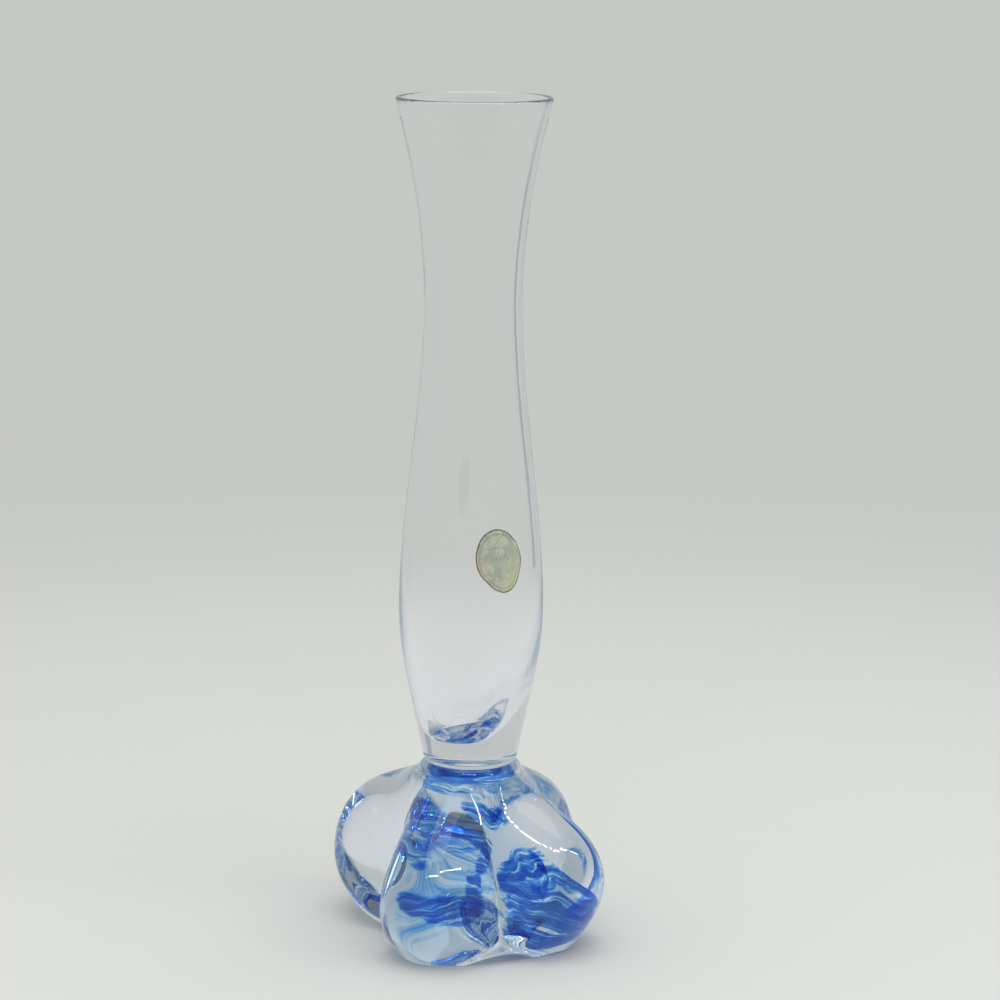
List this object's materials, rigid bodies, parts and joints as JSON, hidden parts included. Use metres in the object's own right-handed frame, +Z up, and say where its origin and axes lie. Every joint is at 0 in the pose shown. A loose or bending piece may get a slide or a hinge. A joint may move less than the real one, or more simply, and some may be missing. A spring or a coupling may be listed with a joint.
{
  "type": "bud vase",
  "caption": "Slim flared clear glass bud vase on a heavy lobed clear foot with a blue glass core and a small blank oval label.",
  "frame": {"origin": "on the table plane, on the axis of the neck, under the middle of the foot", "axes": "+Z up the vase to the rim, -Y towards the side that carries the label and the two front lobes, +X to the right as seen from there"},
  "size_m": [0.0653, 0.0605, 0.2],
  "materials": {
    "clear_glass": "clear, fire-polished, very pale blue tint",
    "foot_glass": "clear, thick, fire-polished",
    "blue_glass": "deep transparent blue",
    "label_paper": "worn matt paper or foil"
  },
  "bodies": {
    "root": {"bowl": "clear_glass", "foot": "foot_glass", "blue_core": "blue_glass", "label": "label_paper"}
  },
  "joints": []
}
